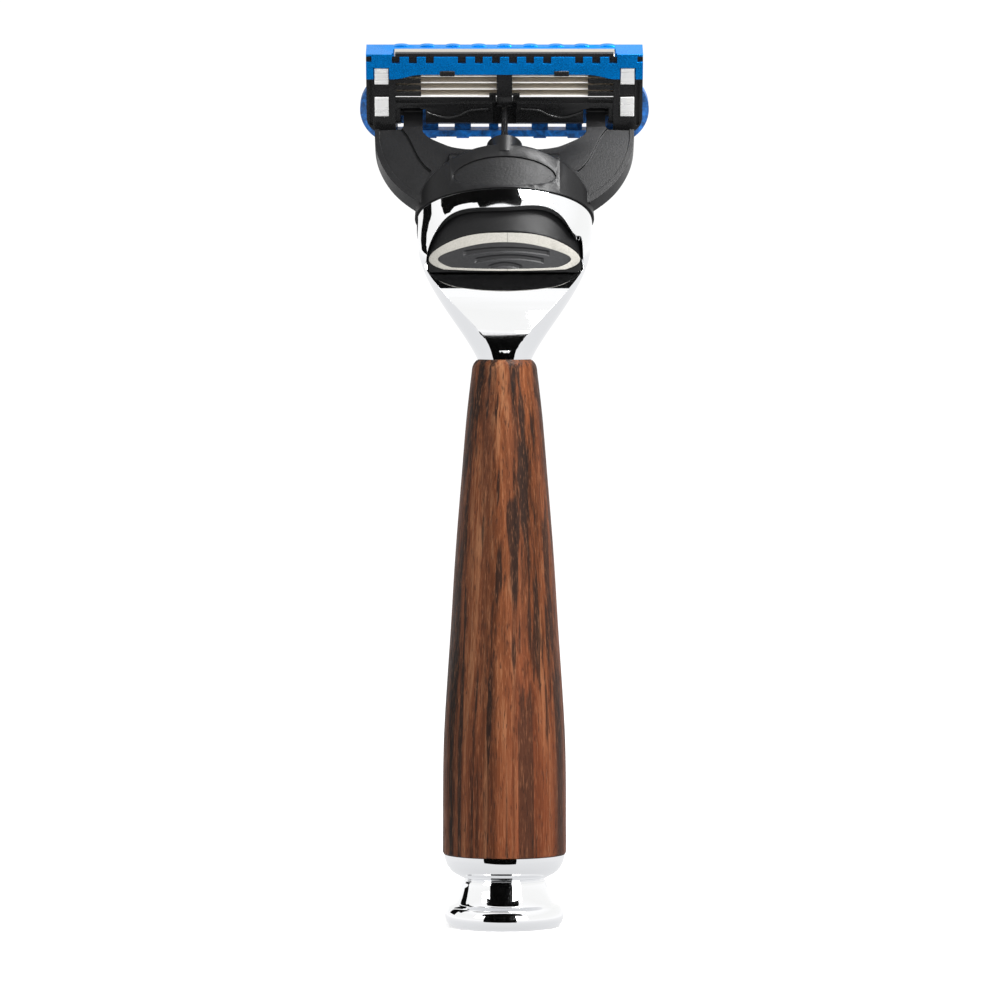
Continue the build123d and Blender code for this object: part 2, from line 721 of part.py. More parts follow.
with BuildPart(cart) as cartridge_housing:
    # bar-shaped body; the ends reach lower than the middle
    with BuildSketch(cart_side):
        Polygon(
            (0.7, 0),
            (0.7, window_low),
            (0, window_low),
            (0, top_bar_w),
            (cart_depth, top_bar_w),
            (cart_depth, bottom_front_w),
            align=None,
        )
    extrude(amount=window_half_width, both=True)
    for side in (-1, 1):
        with BuildSketch(Plane(origin=cart_origin, x_dir=outward, z_dir=(1, 0, 0)).offset(side * window_half_width)):
            Polygon(
                (0, end_low_w + 0.5),
                (0, top_bar_w),
                (cart_depth, top_bar_w),
                (cart_depth, end_low_w),
                align=None,
            )
        extrude(amount=side * (cart_half_width - window_half_width))
    # rounded lower corners
    with BuildSketch(cart.offset(-2)):
        with Locations((0, end_low_w)):
            RectangleRounded(2 * cart_half_width, 20, 2.8, align=(Align.CENTER, Align.MIN))
    extrude(amount=8, mode=Mode.INTERSECT)
    # blades' chamber, open at the front, and the window behind it
    slab(-20.6, 20.6, front_low, front_high, chamber_floor_n, 6, Mode.SUBTRACT)
    slab(-window_half_width, window_half_width, window_low, window_high, -1, 2, Mode.SUBTRACT)
    # rib behind the blades
    slab(-rib_half_width, rib_half_width, 4.65, window_high + 0.2, 0, 0.8)
    # scalloped plate along the lower edge of the window
    for side in (-1, 1):
        with BuildSketch(cart.offset(0.25)):
            with BuildLine():
                low_edge = Spline(
                    (side * 2.0, 2.2),
                    (side * 5.8, 2.2),
                    (side * 8.4, 1.35),
                    (side * 10.4, 1.25),
                    (side * 12.4, 2.15),
                    (side * window_half_width, 2.2),
                )
                Polyline(
                    low_edge @ 1,
                    (side * window_half_width, 3.5),
                    (side * 2.0, 3.5),
                    low_edge @ 0,
                )
            make_face()
        extrude(amount=0.6)
    # way for the plunger, then its cam
    slab(-1.9, 1.9, -3, 3.4, -1, 1.9, Mode.SUBTRACT)
    slab(-rib_half_width - 0.1, rib_half_width + 0.1, 3.0, 4.6, -1, 1.3, Mode.SUBTRACT)
    slab_pair(rib_half_width + 0.1, 2.4, 4.0, 4.95, 0.7, 1.0)
    slab(-2.4, 2.4, 4.65, 4.95, 0.5, 1.0)
    with BuildSketch(cart_side):
        with BuildLine():
            cam = Spline(*cam_points)
            Polyline(
                cam @ 1,
                (cam_points[-1][0] + 0.1, 4.05),
                (2.4, 4.05),
                (2.4, cam_points[0][1]),
                cam @ 0,
            )
        make_face()
    extrude(amount=rib_half_width, both=True)
    # pockets that the tongues swing in, and the pins' bearings
    slab_pair(
        tongue_inner - pocket_gap,
        tongue_outer + pocket_gap,
        -4,
        pivot_w + 1.45,
        -1,
        cart_depth + 1,
        Mode.SUBTRACT,
    )
    for side in (-1, 1):
        with BuildSketch(
            Plane(origin=pivot + Vector(side * tongue_outer, 0, 0), x_dir=(0, 1, 0), z_dir=(side, 0, 0))
        ):
            Circle(pin_r + pin_clearance)
        extrude(amount=pin_length + 0.15, mode=Mode.SUBTRACT)
    # clip grooves and the slots that the clips' legs go through
    slab_pair(clip_inner - 0.1, clip_inner + clip_width + 0.1, leg_low_w, leg_high_w, -1, 0.3, Mode.SUBTRACT)
    for w in (leg_low_w, leg_high_w):
        slab_pair(
            clip_inner - 0.06,
            clip_inner + clip_width + 0.06,
            w - 0.06,
            w + clip_thickness + 0.06,
            -1,
            6,
            Mode.SUBTRACT,
        )
    slab_pair(20.7, 21.2, -0.2, 7.4, -1, 0.6, Mode.SUBTRACT)
write(cartridge_housing.part, "cartridge_housing")


def clip(side):
    """A bent metal band: across the blade ends at the front, its tails folded over at the back."""
    inner, outer = sorted((-side * clip_inner, -side * (clip_inner + clip_width)))
    front = cart_depth + 0.1
    slab(inner, outer, leg_low_w, leg_high_w + clip_thickness, front, front + clip_thickness)
    slab(inner, outer, leg_low_w, leg_low_w + clip_thickness, -0.3, front + clip_thickness)
    slab(inner, outer, leg_high_w, leg_high_w + clip_thickness, -0.3, front + clip_thickness)
    slab(inner, outer, leg_low_w, 4.68, -0.3, -0.3 + clip_thickness)
    slab(inner, outer, 6.8, leg_high_w + clip_thickness, -0.3, -0.3 + clip_thickness)


with BuildPart(cart) as clip_left:
    clip(-1)
write(clip_left.part, "clip_left")

with BuildPart(cart) as clip_right:
    clip(1)
write(clip_right.part, "clip_right")

# ---------------------------------------------------------------- trimmer
cover_back_n = -0.5
cover_low_w = 7.75
cover_rise = 0.75
tooth_top_w = cart_height - 0.45
notch_floor_w = 10.35
trim_half_length = 17.4
trim_front_n = 2.0

with BuildPart(cart) as trimmer_cover:
    # back plate with its lower edge raised over the window
    with BuildSketch(cart.offset(cover_back_n)):
        with BuildLine():
            Polyline(
                (-17.3, cover_low_w),
                (-cart_half_width, cover_low_w),
                (-cart_half_width, cart_height),
                (cart_half_width, cart_height),
                (cart_half_width, cover_low_w),
                (17.3, cover_low_w),
            )
            Spline((17.3, cover_low_w), (13.2, cover_low_w + cover_rise), tangents=((-1, 0.05), (-1, 0.05)))
            Line((13.2, cover_low_w + cover_rise), (-13.2, cover_low_w + cover_rise))
            Spline((-13.2, cover_low_w + cover_rise), (-17.3, cover_low_w), tangents=((-1, -0.05), (-1, -0.05)))
        make_face()
    extrude(amount=-cover_back_n)
    # top plate
    slab(-cart_half_width, cart_half_width, top_bar_w, cart_height, cover_back_n, cart_depth)
    # bed of the trimmer blade, and the comb in front of its edge
    slab(-trim_half_length, trim_half_length, tooth_top_w, cart_height + 1, -2, trim_front_n, Mode.SUBTRACT)
    for group in (-1, 0, 1):
        for tooth in range(3 if group else 6):
            middle = 2 if group else 5
            x = group * 14.35 + (tooth - middle / 2) * tooth_pitch
            slab(
                x - notch_width / 2, x + notch_width / 2, notch_floor_w, cart_height + 1, -2, 0.1, Mode.SUBTRACT
            )
    # notches round the clips' upper tails, corner holes
    slab_pair(clip_inner - 0.15, clip_inner + clip_width + 0.15, 5, leg_high_w + 0.45, -2, 0.1, Mode.SUBTRACT)
    slab_pair(20.8, 30, 10.6, 11.75, -2, 0.1, Mode.SUBTRACT)
    # low bumps along the top front edge
    for bump in range(-4, 5):
        with BuildSketch(cart.offset(cart_depth - 1.0)):
            with Locations((bump * 4.05, cart_height - 0.12)):
                Ellipse(1.25, 0.33)
        extrude(amount=0.95)
write(trimmer_cover.part, "trimmer_cover")

with BuildPart(cart) as trimmer_blade:
    with BuildSketch(cart_side):
        Polygon(
            (-0.2, tooth_top_w + 0.02),
            (0.25, tooth_top_w + 0.02),
            (trim_front_n - 0.05, tooth_top_w + 0.25),
            (trim_front_n - 0.05, tooth_top_w + 0.5),
            (0.2, tooth_top_w + 0.26),
            align=None,
        )
    extrude(amount=trim_half_length - 0.15, both=True)
write(trimmer_blade.part, "trimmer_blade")

# ---------------------------------------------------------------- shaving side
bridge_half_width = 1.3
with BuildPart(cart) as guard_fins:
    # strip on the housing's lower front edge, with fine fins
    slab(1.3 - cart_half_width, cart_half_width - 1.3, bottom_front_w + 0.1, leg_low_w - 0.3, cart_depth + 0.02, cart_depth + 0.55)
    slab(-17.9, 17.9, bottom_front_w + 0.1, 2.2, cart_depth + 0.02, cart_depth + 0.55)
    for fin in range(5):
        w = bottom_front_w + 0.45 + fin * 0.72
        slab(-17.6, 17.6, w, w + 0.3, cart_depth + 0.5, cart_depth + 1.0)
    # free bar below the housing and the bridges that carry it
    slab(1.3 - cart_half_width, cart_half_width - 1.3, -3.35, -2.25, cart_depth - 0.8, cart_depth + 0.8)
    for x in (-18.2, -11.75, -6.6, -1.7, 5.6, 11.0, 17.2):
        half = bridge_half_width if abs(x) > 2 else 0.75
        slab(-x - half, -x + half, -2.6, bottom_front_w + 0.6, cart_depth + 0.02, cart_depth + 0.55)
        slab(-x - half + 0.3, -x + half - 0.3, -3.7, -2.6, cart_depth - 0.5, cart_depth + 0.6)
    # wings that wrap the lower corners
    for side in (-1, 1):
        with BuildSketch(cart.offset(cart_depth - 0.9)):
            with BuildLine():
                tip = (side * (cart_half_width + 0.06), 4.6)
                low = (side * (cart_half_width - 2.1), -3.9)
                ThreePointArc(tip, (side * guard_half_width, -0.6), low)
                Polyline(low, (side * (cart_half_width - 2.1), -2.2), (side * (cart_half_width + 0.06), -0.4), tip)
            make_face()
        extrude(amount=1.9)
write(guard_fins.part, "guard_fins")

with BuildPart(cart) as lubricating_strip:
    with BuildSketch(cart_side):
        with BuildLine():
            Polyline(
                (cart_depth + 0.02, cart_height - 0.7),
                (cart_depth + 0.02, front_high + 0.15),
                (cart_depth + 0.35, front_high + 0.15),
            )
            ThreePointArc(
                (cart_depth + 0.35, front_high + 0.15),
                (cart_depth + 0.75, 10.4),
                (cart_depth + 0.3, cart_height - 0.7),
            )
            Line((cart_depth + 0.3, cart_height - 0.7), (cart_depth + 0.02, cart_height - 0.7))
        make_face()
    extrude(amount=17.6, both=True)
write(lubricating_strip.part, "lubricating_strip")


# ---------------------------------------------------------------- blades
support_back_n = chamber_floor_n + blade_travel + 0.1
support_front_n = 3.4
platform = Vector(0.34, -0.94)      # direction of the bent part, in (n, w)
platform_length = 0.68
blade_thickness = 0.1
blade_width = 0.86

for number in range(1, blade_count + 1):
    level = first_blade_w - blade_pitch * (number - 1)
    half = support_thickness / 2
    normal = Vector(-platform.Y, platform.X)
    corner = Vector(support_front_n, level - half)
    with BuildPart(cart) as blade_support:
        slab(
            -blade_half_length, blade_half_length, level - half, level + half, support_back_n, support_front_n
        )
        with BuildSketch(cart_side):
            end = corner + platform * platform_length
            Polygon(
                (corner.X - 0.05, corner.Y),
                (end.X, end.Y),
                (end.X + normal.X * support_thickness, end.Y + normal.Y * support_thickness),
                (support_front_n + 0.12, level + half),
                (corner.X - 0.05, level + half),
                align=None,
            )
        extrude(amount=blade_half_length, both=True)
    write(blade_support.part, f"blade_support_{number}")

    seat = corner + platform * 0.12 + normal * (support_thickness + 0.012)
    edge = seat + platform * blade_width
    shoulder = seat + platform * (blade_width - 0.3)
    with BuildPart(cart) as blade:
        with BuildSketch(cart_side):
            Polygon(
                (seat.X, seat.Y),
                (edge.X, edge.Y),
                (shoulder.X + normal.X * blade_thickness, shoulder.Y + normal.Y * blade_thickness),
                (seat.X + normal.X * blade_thickness, seat.Y + normal.Y * blade_thickness),
                align=None,
            )
        extrude(amount=blade_half_length, both=True)
    write(blade.part, f"blade_{number}")
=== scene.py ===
"""Looks for a cartridge razor: turned wooden grip, chromed fittings, black yoke and blue-capped head."""
import json
import math

import bmesh
import bpy
from bpy.props import FloatProperty, FloatVectorProperty, IntProperty, PointerProperty
from mathutils import Matrix, Vector
from mathutils.bvhtree import BVHTree


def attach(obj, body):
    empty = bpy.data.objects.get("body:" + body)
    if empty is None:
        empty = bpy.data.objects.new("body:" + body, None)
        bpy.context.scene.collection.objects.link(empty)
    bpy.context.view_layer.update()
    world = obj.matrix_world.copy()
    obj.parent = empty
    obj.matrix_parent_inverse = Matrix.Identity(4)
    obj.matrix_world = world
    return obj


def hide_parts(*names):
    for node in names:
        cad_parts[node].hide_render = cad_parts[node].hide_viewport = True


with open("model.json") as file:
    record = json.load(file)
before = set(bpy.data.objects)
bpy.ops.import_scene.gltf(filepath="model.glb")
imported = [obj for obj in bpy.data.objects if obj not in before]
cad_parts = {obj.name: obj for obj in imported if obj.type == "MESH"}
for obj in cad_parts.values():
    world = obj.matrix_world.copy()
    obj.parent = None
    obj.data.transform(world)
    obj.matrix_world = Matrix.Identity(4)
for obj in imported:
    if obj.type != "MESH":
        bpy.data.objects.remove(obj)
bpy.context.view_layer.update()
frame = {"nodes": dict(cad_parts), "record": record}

bl_info = {
    "name": "Cartridge razor",
    "version": (1, 0, 0),
    "blender": (4, 5, 0),
    "location": "View3D > Sidebar > Razor",
    "description": "Builds the visible pieces of a wet-shaving razor around its packed frame",
    "category": "Object",
}

MM = 0.001
BODIES = {
    node: body
    for body, nodes in frame["record"]["behaviour"]["bodies"].items()
    for node in nodes
}

# the collar leans towards the shaving side and the cartridge tilts the other way; a place on the
# cartridge is (x, w, n): x to the right seen from behind, w up its back and n out of its shaving face
LEAN = math.radians(35)
TILT = math.radians(24)
ALONG = Vector((0, math.sin(LEAN), math.cos(LEAN)))
ACROSS = Vector((0, math.cos(LEAN), -math.sin(LEAN)))
OUTWARD = Vector((0, math.cos(TILT), math.sin(TILT)))
UPWARD = Vector((0, -math.sin(TILT), math.cos(TILT)))
COLLAR = Vector((0, 6.6, 109.8))
CARTRIDGE = Vector((0, 14.0, 125.0))

# the cartridge's repeated places, in millimetres
TOP_BLADE = 8.78
BLADE_PITCH = 1.08

# steps round the badge plate, degrees above which an edge is sharp, and limits for merging
PLATE_STEPS = 72
SHARP_ANGLE = 32
FLAT_ANGLE = math.radians(0.1)
SAME_PLACE = 1e-7
SAME_CORNER = 1e-6


# ---------------------------------------------------------------- sizes and colours
def colour(name, description, default):
    """A colour that the panel shows."""
    return FloatVectorProperty(
        name=name, description=description, subtype="COLOR", size=3, min=0, max=1, default=default
    )


class RazorFinish(bpy.types.PropertyGroup):
    """Colours and surface values of the razor's materials."""

    wood_dark: colour("Dark streaks", "Steamed ash, darkest rings", (0.012, 0.0055, 0.0035))
    wood_brown: colour("Brown", "Steamed ash, main colour", (0.090, 0.0265, 0.0090))
    wood_tan: colour("Tan", "Steamed ash, palest bands", (0.215, 0.089, 0.040))
    chrome: colour("Chrome", "Plated foot and head", (0.93, 0.935, 0.945))
    steel: colour("Blade steel", "Blades and their carriers", (0.62, 0.585, 0.53))
    black: colour("Black plastic", "Yoke, housing and button", (0.0055, 0.0055, 0.0058))
    rubber: colour("Thumb pad", "Soft pad on the button", (0.013, 0.013, 0.0145))
    ring: colour("Ring", "Warm grey ring round the pad", (0.27, 0.26, 0.235))
    blue: colour("Cap blue", "Metallic cap over the trimmer", (0.0, 0.20, 0.62))
    guard: colour("Guard blue", "Soft guard under the blades", (0.001, 0.075, 0.27))
    chrome_roughness: FloatProperty(
        name="Chrome roughness", description="Micro-roughness of the plating", default=0.035, min=0, max=1
    )


class RazorSizes(bpy.types.PropertyGroup):
    """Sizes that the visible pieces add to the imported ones."""

    edge: FloatProperty(
        name="Edge radius",
        description="Rounding of moulded edges",
        default=0.08 * MM,
        unit="LENGTH",
        precision=6,
    )
    turning_steps: IntProperty(
        name="Turning steps", description="Steps round the turned pieces", default=160, min=24
    )
    camera_distance: FloatProperty(
        name="Camera distance", description="From the grip's axis", default=0.785, unit="LENGTH"
    )
    camera_height: FloatProperty(
        name="Camera height", description="Above the table", default=0.0879, unit="LENGTH"
    )
    aim_height: FloatProperty(
        name="Aim height",
        description="Point on the axis that the camera looks at",
        default=0.0662,
        unit="LENGTH",
    )
    lens: FloatProperty(name="Lens", description="Focal length in mm", default=182.3)


def sizes():
    """The scene's sizes."""
    return bpy.context.scene.razor_sizes


def finish():
    """The scene's colours and surface values."""
    return bpy.context.scene.razor_finish


# ---------------------------------------------------------------- node groups
def sockets(tree, inputs, outputs):
    """Gives a node group its named sockets and returns its two end nodes."""
    for name, kind, default in inputs:
        socket = tree.interface.new_socket(name, in_out="INPUT", socket_type=kind)
        socket.default_value = default
    for name, kind in outputs:
        tree.interface.new_socket(name, in_out="OUTPUT", socket_type=kind)
    return tree.nodes.new("NodeGroupInput"), tree.nodes.new("NodeGroupOutput")


def link(tree, source, target):
    """Joins an output socket to an input socket."""
    tree.links.new(source, target)


def math_node(tree, operation, first, second=None):
    """The result of one sum on numbers or sockets."""
    node = tree.nodes.new("ShaderNodeMath")
    node.operation = operation
    for socket, value in zip(node.inputs, (first, second)):
        if value is None:
            continue
        if isinstance(value, (int, float)):
            socket.default_value = value
        else:
            link(tree, value, socket)
    return node.outputs[0]


def weighted(tree, *parts):
    """Adds up values, each times its weight."""
    total = None
    for value, weight in parts:
        part = math_node(tree, "MULTIPLY", value, weight)
        total = part if total is None else math_node(tree, "ADD", total, part)
    return total


def axes(tree, vector):
    """The X, Y and Z sockets of a vector."""
    node = tree.nodes.new("ShaderNodeSeparateXYZ")
    link(tree, vector, node.inputs["Vector"])
    return node.outputs


def placed(tree, scale=(1, 1, 1), location=(0, 0, 0)):
    """Object coordinates through a Mapping node, in units of scale."""
    where = tree.nodes.new("ShaderNodeTexCoord")
    mapping = tree.nodes.new("ShaderNodeMapping")
    mapping.inputs["Scale"].default_value = scale
    mapping.inputs["Location"].default_value = location
    link(tree, where.outputs["Object"], mapping.inputs["Vector"])
    return mapping.outputs["Vector"]


def noise(tree, vector, scale, detail=2.0, roughness=0.5, distortion=0.0):
    """Cloudy values about 0.5, finer as the scale grows."""
    node = tree.nodes.new("ShaderNodeTexNoise")
    link(tree, vector, node.inputs["Vector"])
    if isinstance(scale, (int, float)):
        node.inputs["Scale"].default_value = scale
    else:
        link(tree, scale, node.inputs["Scale"])
    node.inputs["Detail"].default_value = detail
    node.inputs["Roughness"].default_value = roughness
    node.inputs["Distortion"].default_value = distortion
    return node.outputs["Fac"]


def ramp(tree, factor, stops):
    """A colour that runs through (place, tone) stops."""
    node = tree.nodes.new("ShaderNodeValToRGB")
    elements = node.color_ramp.elements
    while len(elements) < len(stops):
        elements.new(1.0)
    for element, (place, tone) in zip(elements, stops):
        element.position = place
        element.color = (*tone, 1)
    link(tree, factor, node.inputs["Fac"])
    return node.outputs["Color"]


def map_range(tree, value, low, high, to_low, to_high):
    """A value moved from one range to another and held inside it."""
    node = tree.nodes.new("ShaderNodeMapRange")
    link(tree, value, node.inputs["Value"])
    for name, number in (("From Min", low), ("From Max", high), ("To Min", to_low), ("To Max", to_high)):
        if isinstance(number, (int, float)):
            node.inputs[name].default_value = number
        else:
            link(tree, number, node.inputs[name])
    return node.outputs["Result"]


def mix(tree, factor, first, second, blend="MIX"):
    """Two colours blended by a factor."""
    node = tree.nodes.new("ShaderNodeMix")
    node.data_type = "RGBA"
    node.blend_type = blend
    for socket, value in zip((node.inputs[0], node.inputs[6], node.inputs[7]), (factor, first, second)):
        if isinstance(value, (int, float)):
            socket.default_value = value
        elif isinstance(value, (tuple, list)):
            socket.default_value = (*value, 1)
        else:
            link(tree, value, socket)
    return node.outputs[2]


def moulded_group():
    """Fine texture of moulded plastic: a height, a roughness and a tone that drifts slightly."""
    tree = bpy.data.node_groups.get("moulded texture")
    if tree:
        return tree
    tree = bpy.data.node_groups.new("moulded texture", "ShaderNodeTree")
    start, end = sockets(
        tree,
        (
            ("Grain Scale", "NodeSocketFloat", 4000.0),
            ("Roughness Low", "NodeSocketFloat", 0.3),
            ("Roughness High", "NodeSocketFloat", 0.45),
            ("Tone Low", "NodeSocketColor", (0.01, 0.01, 0.01, 1)),
            ("Tone High", "NodeSocketColor", (0.02, 0.02, 0.02, 1)),
        ),
        (("Height", "NodeSocketFloat"), ("Roughness", "NodeSocketFloat"), ("Tone", "NodeSocketColor")),
    )
    where = placed(tree)
    grain = noise(tree, where, start.outputs["Grain Scale"], 3.0, 0.6)
    drift = noise(tree, where, 160.0, 3.0, 0.6)
    link(tree, grain, end.inputs["Height"])
    both = weighted(tree, (grain, 0.5), (drift, 0.5))
    rough = map_range(tree, both, 0.3, 0.7, start.outputs["Roughness Low"], start.outputs["Roughness High"])
    link(tree, rough, end.inputs["Roughness"])
    share = map_range(tree, both, 0.3, 0.7, 0, 1)
    link(tree, mix(tree, share, start.outputs["Tone Low"], start.outputs["Tone High"]), end.inputs["Tone"])
    return tree


def brushed_group():
    """Fine lines along X of ground and rolled steel."""
    tree = bpy.data.node_groups.get("brushed lines")
    if tree:
        return tree
    tree = bpy.data.node_groups.new("brushed lines", "ShaderNodeTree")
    start, end = sockets(
        tree,
        (
            ("Line Scale", "NodeSocketFloat", 9000.0),
            ("Tone Low", "NodeSocketColor", (0.4, 0.4, 0.4, 1)),
            ("Tone High", "NodeSocketColor", (0.6, 0.6, 0.6, 1)),
        ),
        (("Height", "NodeSocketFloat"), ("Roughness", "NodeSocketFloat"), ("Tone", "NodeSocketColor")),
    )
    lines = noise(tree, placed(tree, (0.02, 1, 1)), start.outputs["Line Scale"], 3.0, 0.7)
    drift = noise(tree, placed(tree, (0.3, 1, 1)), 300.0, 2.0, 0.5)
    link(tree, lines, end.inputs["Height"])
    link(tree, map_range(tree, lines, 0.3, 0.7, 0.22, 0.4), end.inputs["Roughness"])
    share = map_range(tree, weighted(tree, (lines, 0.6), (drift, 0.4)), 0.3, 0.7, 0, 1)
    link(tree, mix(tree, share, start.outputs["Tone Low"], start.outputs["Tone High"]), end.inputs["Tone"])
    return tree


# ---------------------------------------------------------------- materials
def new_material(name):
    """A fresh node material, its tree and its Principled BSDF."""
    material = bpy.data.materials.new(name)
    material.use_nodes = True
    return material, material.node_tree, material.node_tree.nodes["Principled BSDF"]


def soft_edges(tree, radius):
    """Normals that round off hard edges by a radius in millimetres."""
    node = tree.nodes.new("ShaderNodeBevel")
    node.samples = 6
    node.inputs["Radius"].default_value = radius * MM
    return node.outputs["Normal"]


def bump(tree, shader, height, distance, edge=0.1):
    """Raises a surface by a height, over edges softened by a radius in millimetres."""
    node = tree.nodes.new("ShaderNodeBump")
    if edge:
        link(tree, soft_edges(tree, edge), node.inputs["Normal"])
    node.inputs["Distance"].default_value = distance
    link(tree, height, node.inputs["Height"])
    link(tree, node.outputs["Normal"], shader.inputs["Normal"])


def shade(tone, factor):
    """A tone made darker or lighter."""
    return tuple(min(1.0, value * factor) for value in tone)


def plastic(
    name, tone, rough=(0.32, 0.46), grain=4200.0, depth=0.006, spread=0.18, metal=0.0, coat=0.0, gloss=0.2
):
    """Moulded plastic or rubber with its fine surface texture."""
    if name in bpy.data.materials:
        return bpy.data.materials[name]
    material, tree, shader = new_material(name)
    group = tree.nodes.new("ShaderNodeGroup")
    group.node_tree = moulded_group()
    group.inputs["Grain Scale"].default_value = grain
    group.inputs["Roughness Low"].default_value = rough[0]
    group.inputs["Roughness High"].default_value = rough[1]
    group.inputs["Tone Low"].default_value = (*shade(tone, 1 - spread), 1)
    group.inputs["Tone High"].default_value = (*shade(tone, 1 + spread), 1)
    link(tree, group.outputs["Tone"], shader.inputs["Base Color"])
    link(tree, group.outputs["Roughness"], shader.inputs["Roughness"])
    shader.inputs["Metallic"].default_value = metal
    shader.inputs["Coat Weight"].default_value = coat
    shader.inputs["Coat Roughness"].default_value = 0.12
    shader.inputs["Specular IOR Level"].default_value = gloss
    bump(tree, shader, group.outputs["Height"], depth * MM, edge=0.12)
    return material


def chrome_material():
    """Bright plating with a faint haze."""
    if "chrome plating" in bpy.data.materials:
        return bpy.data.materials["chrome plating"]
    material, tree, shader = new_material("chrome plating")
    where = placed(tree)
    haze = noise(tree, where, 90.0, 3.0, 0.6)
    fine = noise(tree, where, 1500.0, 2.0, 0.5)
    low = finish().chrome_roughness
    both = weighted(tree, (haze, 0.7), (fine, 0.3))
    link(tree, map_range(tree, both, 0.35, 0.65, low * 0.6, low * 1.5), shader.inputs["Roughness"])
    tone = tuple(finish().chrome)
    link(tree, mix(tree, haze, shade(tone, 0.985), tone), shader.inputs["Base Color"])
    shader.inputs["Metallic"].default_value = 1.0
    return material


def steel_material(name, tone, spread=0.2, lines=9000.0, metal=1.0, edge=0.06):
    """Ground or rolled steel with fine lines along X."""
    if name in bpy.data.materials:
        return bpy.data.materials[name]
    material, tree, shader = new_material(name)
    group = tree.nodes.new("ShaderNodeGroup")
    group.node_tree = brushed_group()
    group.inputs["Line Scale"].default_value = lines
    group.inputs["Tone Low"].default_value = (*shade(tone, 1 - spread), 1)
    group.inputs["Tone High"].default_value = (*shade(tone, 1 + spread), 1)
    link(tree, group.outputs["Tone"], shader.inputs["Base Color"])
    link(tree, group.outputs["Roughness"], shader.inputs["Roughness"])
    shader.inputs["Metallic"].default_value = metal
    bump(tree, shader, group.outputs["Height"], 0.002 * MM, edge=edge)
    return material


def wood_material():
    """Steamed ash sawn through the rings: long streaks, dark ring lines, pores and a silky sheen."""
    material, tree, shader = new_material("steamed ash")
    values = finish()
    dark, brown, tan = tuple(values.wood_dark), tuple(values.wood_brown), tuple(values.wood_tan)
    # broad bands, slightly wavy along the grip
    sway = noise(tree, placed(tree, (1, 1, 0.5)), 22.0, 2.0, 0.5)
    banded = placed(tree, (1, 1, 0.014), (0.013, 0.002, 0.4))
    shifted = tree.nodes.new("ShaderNodeVectorMath")
    shifted.operation = "ADD"
    push = tree.nodes.new("ShaderNodeCombineXYZ")
    link(tree, math_node(tree, "MULTIPLY", sway, 0.0018), push.inputs["X"])
    link(tree, banded, shifted.inputs[0])
    link(tree, push.outputs["Vector"], shifted.inputs[1])
    bands = noise(tree, shifted.outputs["Vector"], 300.0, 2.0, 0.55)
    streaks = noise(tree, shifted.outputs["Vector"], 1000.0, 3.0, 0.65)
    threads = noise(tree, placed(tree, (1, 1, 0.03)), 2600.0, 2.0, 0.6)
    base = ramp(
        tree,
        weighted(tree, (bands, 0.5), (streaks, 0.3), (threads, 0.2)),
        (
            (0.39, dark),
            (0.435, shade(brown, 0.4)),
            (0.48, brown),
            (0.54, shade(brown, 1.4)),
            (0.62, tan),
        ),
    )
    # thin dark ring lines
    rings = noise(tree, placed(tree, (1, 1, 0.01), (0.05, 0.02, 0)), 760.0, 2.0, 0.5)
    ring_mask = map_range(tree, rings, 0.535, 0.585, 0, 1)
    streaked = mix(tree, math_node(tree, "MULTIPLY", ring_mask, 0.9), base, shade(dark, 1.4))
    # red-brown tint in patches
    patches = noise(tree, placed(tree, (1, 1, 0.2)), 75.0, 2.0, 0.5)
    reddened = map_range(tree, patches, 0.45, 0.7, 0, 0.55)
    tinted = mix(tree, reddened, streaked, (0.85, 0.42, 0.24), blend="MULTIPLY")
    tinted = mix(tree, map_range(tree, patches, 0.45, 0.7, 0, 0.3), tinted, shade(brown, 1.3))
    # broad bands of the board across the grip, darker towards the left, with a painted highlight band just
    # right of the middle
    across = math_node(tree, "ADD", axes(tree, placed(tree))["X"], math_node(tree, "MULTIPLY", sway, 0.0012))
    board_and_highlight = ramp(
        tree,
        map_range(tree, across, -9.4 * MM, 10.6 * MM, 0, 1),
        [
            (place, (tone, tone, tone))
            for place, tone in (
                (0.0, 0.42),
                (0.24, 0.5),
                (0.30, 0.62),
                (0.335, 0.33),
                (0.42, 0.4),
                (0.45, 0.8),
                (0.55, 0.85),
                (0.575, 0.5),
                # painted highlight: the brightest stops, a band just right of the middle
                (0.605, 1.0),
                (0.70, 0.95),
                (0.74, 0.6),
                (0.80, 0.78),
                (1.0, 0.6),
            )
        ],
    )
    tinted = mix(tree, 0.85, tinted, board_and_highlight, blend="MULTIPLY")
    # pores: short dark dashes, and flecks of pale fibre between them
    pores = noise(tree, placed(tree, (1, 1, 0.12)), 3600.0, 2.0, 0.6)
    pore_mask = map_range(tree, pores, 0.58, 0.7, 0, 1)
    porous = mix(tree, math_node(tree, "MULTIPLY", pore_mask, 0.7), tinted, dark)
    fibres = noise(tree, placed(tree, (1, 1, 0.07)), 5200.0, 2.0, 0.7)
    speckled = mix(tree, map_range(tree, fibres, 0.54, 0.78, 0, 0.32), porous, shade(tan, 1.5))
    link(tree, speckled, shader.inputs["Base Color"])
    link(tree, map_range(tree, pores, 0.3, 0.75, 0.38, 0.62), shader.inputs["Roughness"])
    shader.inputs["Specular IOR Level"].default_value = 0.1
    height = math_node(
        tree,
        "SUBTRACT",
        math_node(tree, "MULTIPLY", fibres, 0.4),
        math_node(tree, "ADD", pore_mask, math_node(tree, "MULTIPLY", ring_mask, 0.3)),
    )
    bump(tree, shader, height, 0.03 * MM, edge=0)
    return material


